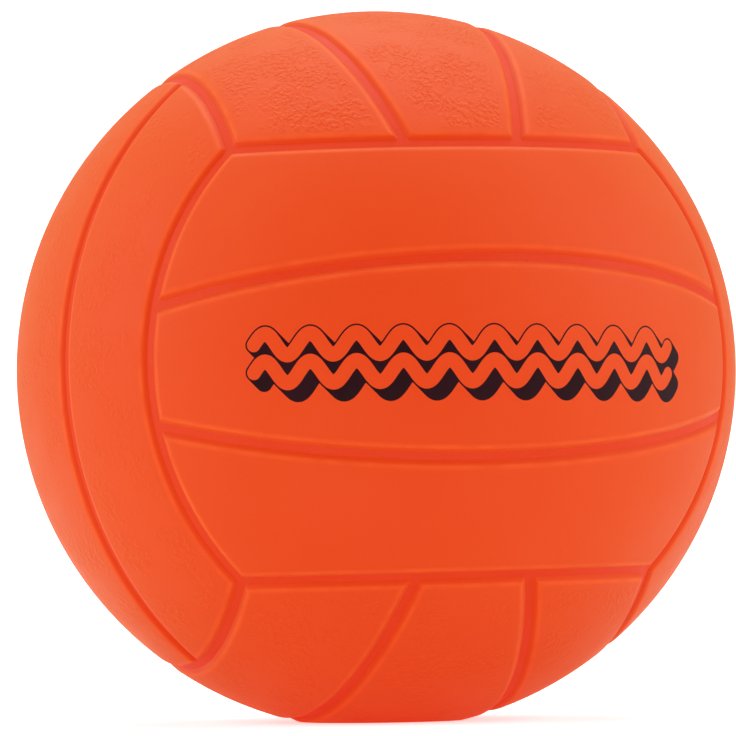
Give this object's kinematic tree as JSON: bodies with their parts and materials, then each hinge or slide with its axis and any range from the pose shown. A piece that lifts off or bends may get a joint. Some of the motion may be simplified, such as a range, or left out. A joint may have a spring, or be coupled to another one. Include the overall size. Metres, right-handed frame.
{
  "type": "water polo ball",
  "caption": "Round inflatable water polo ball with a bright orange strip-panelled cover, sunk channels between the panels and a needle valve at the top.",
  "frame": {"origin": "centre of the ball", "axes": "+Z out through the needle valve, -Y out through the middle of the front group of panels, +X to the right seen from the front"},
  "size_m": [0.22, 0.22, 0.2199],
  "materials": {
    "smooth_cover": "smooth satin moulded cover, fluorescent orange",
    "grained_cover": "satin moulded cover with a fine leathery grain, fluorescent orange",
    "undercover": "smooth satin, a shade redder than the panels",
    "thread": "wound nylon thread in cement",
    "bladder": "matt black butyl",
    "patch": "matt rubbered cloth",
    "valve": "satin black moulded rubber"
  },
  "bodies": {
    "root": {"front_top_strip": "smooth_cover", "front_middle_strip": "smooth_cover", "front_bottom_strip": "smooth_cover", "back_top_strip": "smooth_cover", "back_middle_strip": "smooth_cover", "back_bottom_strip": "smooth_cover", "left_front_strip": "grained_cover", "left_middle_strip": "grained_cover", "left_back_strip": "grained_cover", "right_front_strip": "grained_cover", "right_middle_strip": "grained_cover", "right_back_strip": "grained_cover", "top_left_strip": "grained_cover", "top_middle_strip": "grained_cover", "top_right_strip": "grained_cover", "bottom_left_strip": "grained_cover", "bottom_middle_strip": "grained_cover", "bottom_right_strip": "grained_cover", "undercover": "undercover", "thread_winding": "thread", "bladder": "bladder", "valve_patch": "patch", "valve_housing": "valve", "valve_core": "valve"}
  },
  "joints": []
}
